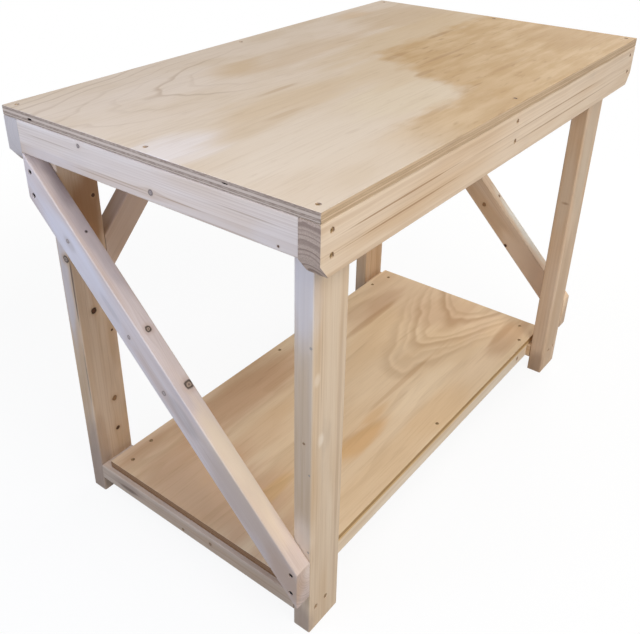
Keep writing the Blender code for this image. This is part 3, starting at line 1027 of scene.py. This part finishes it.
def drive_shelf_screws(surface, board_screw):
    """The screws that hold the shelf down. Gives back the cutter for their countersunk holes."""
    head, shank, length = BOARD_SCREW
    mouth, hole = head / 2 + SCREW_CLEARANCE, shank / 2 + SCREW_CLEARANCE
    rim = -SHELF_SCREW_SINK - SCREW_LIP
    profile = [
        (0, SHELF_HOLE_ABOVE), (mouth, SHELF_HOLE_ABOVE), (mouth, rim), (hole, rim - (head - shank) / 2),
        (hole, -length), (0, -length),
    ]
    bm = bmesh.new()
    for number, (x, y) in enumerate(SHELF_SCREWS, start=1):
        spot = Vector((x * MM, y * MM, surface))
        known = set(bm.verts)
        lathe(bm, profile, SCREW_SIDES)
        bmesh.ops.translate(bm, vec=spot, verts=[v for v in bm.verts if v not in known])
        sunk = spot + DOWN * SHELF_SCREW_SINK * MM
        place_screw(f"shelf_screw_{number}", board_screw, sunk, DOWN, number * SHELF_SCREW_TURN)
    return new_piece("shelf_screw_holes", bm)


def core_gap_cutter(edge_x):
    """What the gaps in the core veneers take out of the edge."""
    bm = bmesh.new()
    for y, z, width, height in CORE_GAPS:
        shape = Matrix.Diagonal(Vector((CORE_GAP_DEPTH, width, height)) * MM).to_4x4()
        place = Matrix.Translation((edge_x, y * MM, z * MM))
        bmesh.ops.create_icosphere(bm, subdivisions=CORE_GAP_STEPS, radius=1.0, matrix=place @ shape)
    return new_piece("core_gaps", bm)


# Marks, and patches of painted light and shade, that come up more than once
BARK = (92, 68, 54)
SMUDGE = (166, 150, 140)
# Paler and cooler: painted light high on the left faces
PAINTED_COOL_LIGHT = (222, 217, 220)
# Darker: painted shade at the feet, and dirt round a bark mark
PAINTED_SHADE_AND_GRIME = (178, 156, 140)
TIMBERS = {
    "front_top_rail": Timber((224, 205, 184), (2, -47), 9.0, 0.22, (), (
        # A darker line along the top of the rail, under the top's front edge: painted shade.
        StainAndShading(0, -355, 893, 900, 4, 0.75, (172, 150, 126)),
        StainAndShading(-390, -355, 861, 200, 1.8, 0.75), StainAndShading(-400, -355, 837, 210, 1.8, 0.75),
        StainAndShading(150, -355, 857, 330, 1.6, 0.65), StainAndShading(190, -355, 834, 350, 1.8, 0.6))),
    "back_top_rail": Timber((224, 200, 170), (-30, 20), 5.0, 0.35, (
        Knot(-260, 355, 850, 8), Knot(180, 355, 872, 6), Knot(430, 355, 838, 9)), (
        StainAndShading(-610, 336, 847, 30, 110, 0.75, (214, 204, 198)),)),
    "left_top_rail": Timber((229, 213, 199), (26, -20), 4.6, 0.3, (
        Knot(-610, -282, 837, 2), Knot(-610, 147, 882, 4, GREY_KNOT),
        Knot(-610, -24, 846, 5.5, GREY_KNOT)), (
        StainAndShading(-610, 220, 841, 110, 14, 0.28, (232, 225, 226)),
        StainAndShading(-610, -290, 845, 60, 30, 0.24, (232, 224, 220)),
        # A darker line along the top of the rail, under the top's edge: painted shade.
        StainAndShading(-610, 0, 894, 400, 5, 0.6, (206, 188, 174)),
        StainAndShading(-610, 130, 870, 190, 26, 0.5, (222, 203, 186)),
        StainAndShading(-610, 90, 841, 130, 1.5, 0.45), StainAndShading(-610, 60, 846, 100, 1.5, 0.4),
        StainAndShading(-610, -90, 846, 60, 1.5, 0.5), StainAndShading(-610, -230, 868, 70, 1.6, 0.4),
        StainAndShading(-610, -170, 832, 90, 1.5, 0.3), StainAndShading(-610, 210, 870, 90, 1.4, 0.4))),
    "right_top_rail": Timber((224, 204, 178), (-24, 12), 4.6, 0.3, (
        Knot(610, 120, 860, 7), Knot(610, -190, 852, 5))),
    "centre_top_rail": Timber((222, 198, 168), (28, 6), 5.2, 0.35, (
        Knot(2, -90, 850, 7), Knot(2, 160, 870, 5))),
    "front_left_leg": Timber((219, 200, 178), (-34, 18), 5.0, 0.16, (
        Knot(-572, -312, 657, 2.4, FAINT_EDGE_KNOT), Knot(-572, -300, 463, 2.2, EDGE_KNOT),
        Knot(-572, -312, 400, 2, FAINT_EDGE_KNOT), Knot(-572, -312, 216, 2.2, FAINT_EDGE_KNOT)), (
        StainAndShading(-560, -317, 593, 16, 10, 0.5, (238, 224, 208)),
        StainAndShading(-546, -317, 463, 20, 13, 0.6, (240, 228, 214)),
        StainAndShading(-549, -317, 630, 150, 1.5, 0.35), StainAndShading(-498, -317, 400, 420, 7, 0.25),
        # Paler and cooler high on the left face: painted light. Darker at the foot: painted shade.
        StainAndShading(-572, -298, 760, 160, 34, 0.5, PAINTED_COOL_LIGHT), StainAndShading(-572, -298, 15, 60, 30, 0.7, PAINTED_SHADE_AND_GRIME),
        StainAndShading(-572, -298, 245, 70, 26, 0.6, (240, 221, 202)))),
    "front_right_leg": Timber((224, 199, 174), (30, -26), 5.0, 0.16, (), (
        # Darker at the foot: painted shade.
        StainAndShading(483, -298, 15, 60, 30, 0.7, (168, 138, 114)),
        StainAndShading(483, -298, 560, 150, 22, 0.35, (227, 214, 197)),
        StainAndShading(484, -302, 517, 5, 13, 0.5, (172, 140, 114)),
        StainAndShading(484, -302, 517, 3, 8, 0.35, (146, 112, 86)),
        StainAndShading(527, -317, 640, 280, 48, 0.65, (202, 185, 165)),
        StainAndShading(527, -317, 200, 330, 44, 0.5, (192, 166, 140)))),
    "back_left_leg": Timber((222, 198, 172), (22, -14), 5.4, 0.18, (
        Knot(-534, 279, 471, 7), Knot(-568, 291, 604, 8, RING_KNOT), Knot(-513, 279, 232, 6.5, SOFT_KNOT),
        Knot(-515, 279, 149, 5), Knot(-496, 279, 405, 3), Knot(-498, 279, 718, 4)), (
        StainAndShading(-572, 281, 560, 120, 2.5, 0.8, BARK), StainAndShading(-572, 281, 330, 90, 2.0, 0.6, BARK),
        # Darker high on the front face, under the top: painted shade.
        StainAndShading(-515, 279, 700, 120, 48, 0.85, (164, 120, 82)),
        StainAndShading(-530, 279, 560, 120, 12, 0.35, (198, 150, 104)),
        StainAndShading(-560, 279, 140, 90, 20, 0.5, (184, 150, 120)),
        StainAndShading(-498, 279, 375, 90, 15, 0.5, (192, 158, 124)),
        # Paler and cooler over the upper left face: painted light. Darker towards the foot: painted shade.
        StainAndShading(-572, 302, 560, 220, 16, 0.5, PAINTED_COOL_LIGHT), StainAndShading(-572, 298, 60, 160, 34, 0.9, PAINTED_SHADE_AND_GRIME))),
    "back_right_leg": Timber((222, 197, 170), (-26, 22), 4.8, 0.3, (
        Knot(520, 317, 640, 8), Knot(550, 317, 330, 6), Knot(500, 279, 480, 5))),
    "left_end_brace": Timber((224, 210, 204), (24, -30), 4.4, 0.16, (
        Knot(-589, 42, 554, 6.2, RING_KNOT), Knot(-581, -45, 467, 8.8, RING_KNOT),
        Knot(-610, 218, 682, 4.5, FAINT_KNOT), Knot(-610, 74, 533, 4.5, FAINT_KNOT),
        Knot(-610, -8, 446, 5.5, FAINT_KNOT)), (
        # Paler and cooler high on the outer face: painted light.
        StainAndShading(-610, 200, 660, 190, 40, 0.6, (226, 221, 224)),
        # Lighter on the lower end of the upper edge: painted light.
        StainAndShading(-591, -170, 342, 210, 26, 0.8, (233, 213, 186)),
        # Darker low on the outer face: painted shade.
        StainAndShading(-610, -190, 280, 170, 40, 0.65, (202, 180, 163)),
        # Darker over the upper end of the upper edge: painted shade.
        StainAndShading(-580, 188, 722, 195, 30, 0.85, (174, 160, 160)),
        # Darker still where the upper edge meets the rail: painted shade.
        StainAndShading(-575, 275, 766, 110, 26, 0.75, (140, 122, 118)),
        StainAndShading(-610, 214, 678, 22, 10, 0.3, SMUDGE), StainAndShading(-610, 120, 580, 40, 8, 0.25, SMUDGE),
        # The last patch on this line, darker near the foot of the outer face, is painted shade.
        StainAndShading(-610, -50, 416, 60, 18, 0.35, SMUDGE), StainAndShading(-610, -290, 172, 90, 36, 0.55, (192, 162, 138)),
        StainAndShading(-587, 190, 702, 4, 4, 0.95, (52, 38, 34)))),
    "right_end_brace": Timber((230, 206, 180), (-22, 24), 4.6, 0.25, (
        Knot(572, -47, 409, 6, SOFT_KNOT), Knot(598, -77, 434, 3.5, EDGE_KNOT), Knot(572, -126, 304, 4.5),
        Knot(610, 160, 620, 7)), (
        # Lighter over the lower part of the brace: painted light.
        StainAndShading(585, -200, 270, 170, 60, 0.8, (240, 216, 190)),
        # Lighter on the upper edge and the outer face beside it: painted light.
        StainAndShading(602, -163, 355, 140, 24, 0.95, (255, 252, 242)))),
    "back_left_knee_brace": Timber((226, 203, 184), (24, 16), 4.6, 0.2, (Knot(-360, 279, 700, 3),), (
        # Darker over the brace's face: painted shade.
        StainAndShading(-430, 279, 650, 140, 70, 0.4, (198, 172, 156)),)),
    "back_right_knee_brace": Timber((224, 198, 170), (-24, 10), 4.2, 0.3, (
        Knot(330, 279, 740, 6), Knot(420, 279, 640, 5))),
    "left_shelf_rail": Timber((213, 194, 176), (20, -30), 4.4, 0.2, (
        Knot(-572, -60, 60, 3.5, EDGE_KNOT), Knot(-572, 20, 48, 3, EDGE_KNOT)), (
        StainAndShading(-572, 190, 62, 60, 16, 0.6, PAINTED_SHADE_AND_GRIME), StainAndShading(-572, 190, 56, 34, 7, 0.6, BARK))),
    "right_shelf_rail": Timber((222, 198, 170), (-28, 8), 4.8, 0.3, (
        Knot(572, -90, 56, 7, EDGE_KNOT), Knot(572, 140, 60, 5, EDGE_KNOT))),
    "front_shelf_rail": Timber((238, 222, 202), (30, 12), 4.6, 0.16, (Knot(424, -268, 60, 5, EDGE_KNOT),)),
    "back_shelf_rail": Timber((222, 198, 170), (-26, -16), 5.0, 0.3, (
        Knot(150, 268, 56, 7, EDGE_KNOT), Knot(-280, 268, 60, 5, EDGE_KNOT))),
}


# Seeds of the materials: the first timber's, the step to the next one, and the plywood boards'
TIMBER_SEED = 1.0
TIMBER_SEED_STEP = 3.1
TOP_SEED = 4.0
SHELF_SEED = 21.0


def build_bench():
    """Dresses every board and screw of the frame and drives the shelf's screws."""
    for number, (name, timber) in enumerate(TIMBERS.items()):
        board = Board(name)
        board.show(softwood(board, timber, number * TIMBER_SEED_STEP + TIMBER_SEED))
    yellow = screw_steel("screw_steel_yellow", YELLOW_PLATE)
    # The darker steel paints shade onto the braces' screws
    dark = screw_steel("screw_steel_shaded", SHADED_PLATE)
    frame_screw = screw_mesh("frame_screw", FRAME_SCREW, yellow)
    brace_screw = screw_mesh("brace_screw", FRAME_SCREW, dark)
    board_screw = screw_mesh("board_screw", BOARD_SCREW, yellow)
    dress_screws(frame_screw, brace_screw, board_screw)
    top = Board("top_board")
    top.show(plywood(top, TOP_VENEER, top_face, TOP_SEED), core_gap_cutter(top.low.x))
    shelf = Board("shelf_board")
    holes = drive_shelf_screws(shelf.high.z, board_screw)
    shelf.show(plywood(shelf, SHELF_VENEER, shelf_face, SHELF_SEED), holes)


# Camera
CAMERA_PLACE = (-1.3555, -0.90975, 1.3495)
CAMERA_FORWARD = Vector((0.68119, 0.54300, -0.49105))
CAMERA_RIGHT = Vector((0.62438, -0.78112, 0.00239))
CAMERA_LENS = 44.783
CAMERA_SENSOR = 36.0
CAMERA_SHIFT = (0.0359, -0.0742)

# Studio lamps: place, aim, size, power and colour
LAMPS = {
    "front_softbox": ((-0.9, -2.2, 2.6), (0, 0, 0.3), 1.8, 44.0, (1.0, 0.96, 0.89)),
    "left_window": ((-1.5, 0.05, 1.25), (-0.6, 0.0, 0.75), 0.9, 11.0, (0.56, 0.7, 1.0)),
    "right_softbox": ((3.2, 0.0, 1.6), (0, 0, 0.2), 2.0, 66.0, (1.0, 0.97, 0.92)),
    "overhead": ((0.2, -0.4, 3.4), (0, 0, 0.5), 2.6, 14.0, (1.0, 1.0, 1.0)),
    "front_fill": ((-0.4, -2.8, 0.9), (0, 0, 0.4), 1.6, 13.0, (1.0, 0.96, 0.9)),
}
AMBIENT = 0.25
AMBIENT_COLOUR = (0.97, 0.985, 1.0, 1.0)
WHITE = (1.0, 1.0, 1.0, 1.0)

# Floor: its size and its drop below the feet, what it sends back and what it shows, and where it turns white
FLOOR_SIZE = 14.0
FLOOR_DROP = 0.0004
FLOOR_DULL = 0.38
FLOOR_PALE = 0.92
FLOOR_ROUGHNESS = 0.9
FLOOR_WHITE_SHARE = 0.90
FLOOR_WHITE_FROM = 0.9
FLOOR_WHITE_ALL = 2.4


def add_camera():
    """The camera, off the bench's front left corner and above it."""
    data = bpy.data.cameras.new("camera")
    data.sensor_width = CAMERA_SENSOR
    data.sensor_fit = "HORIZONTAL"
    data.lens = CAMERA_LENS
    data.shift_x, data.shift_y = CAMERA_SHIFT
    camera = add_object("camera", data)
    up = CAMERA_RIGHT.cross(CAMERA_FORWARD)
    turn = Matrix((CAMERA_RIGHT, up, -CAMERA_FORWARD)).transposed().to_quaternion().to_matrix()
    camera.matrix_world = Matrix.Translation(CAMERA_PLACE) @ turn.to_4x4()
    bpy.context.scene.camera = camera


def add_lamps():
    """Soft round lamps, each aimed at a point."""
    for name, (place, aim, size, power, colour) in LAMPS.items():
        data = bpy.data.lights.new(name, "AREA")
        data.shape = "DISK"
        data.size = size
        data.energy = power
        data.color = colour
        lamp = add_object(name, data)
        lamp.location = place
        lamp.rotation_euler = (Vector(aim) - Vector(place)).to_track_quat("-Z", "Y").to_euler()


def add_world():
    """A white background that gives the bench a weak, even light."""
    world = bpy.data.worlds.new("studio")
    bpy.context.scene.world = world
    world.use_nodes = True
    nodes = Nodes(world.node_tree)
    soft = nodes.tree.nodes["Background"]
    soft.inputs["Color"].default_value = AMBIENT_COLOUR
    soft.inputs["Strength"].default_value = AMBIENT
    white = nodes.add("Background", {"Color": WHITE, "Strength": 1.0})
    nodes.show("World Output", soft.outputs[0], white.outputs[0])


def add_floor():
    """A pale floor that keeps the bench's shadow, turns white further out and sends little light back up."""
    look = Look("floor")
    dull = look.shader
    pale = look.add("BsdfPrincipled")
    for shader, grey in ((dull, FLOOR_DULL), (pale, FLOOR_PALE)):
        shader.inputs["Base Color"].default_value = (grey, grey, grey, 1.0)
        shader.inputs["Roughness"].default_value = FLOOR_ROUGHNESS
    glow = look.add("Emission")
    away = look.vector("LENGTH", look.place)
    white = look.fade(away, FLOOR_WHITE_FROM, FLOOR_WHITE_ALL, FLOOR_WHITE_SHARE, 1.0)
    seen = look.mix_shaders(white, pale.outputs[0], glow.outputs[0])
    look.show("Material Output", dull.outputs[0], seen)
    bm = bmesh.new()
    bmesh.ops.create_grid(bm, x_segments=1, y_segments=1, size=FLOOR_SIZE / 2)
    floor = new_piece("floor", bm, look.material)
    floor.location.z = -FLOOR_DROP


bpy.context.scene.view_settings.view_transform = "Standard"
build_bench()
add_camera()
add_lamps()
add_world()
add_floor()
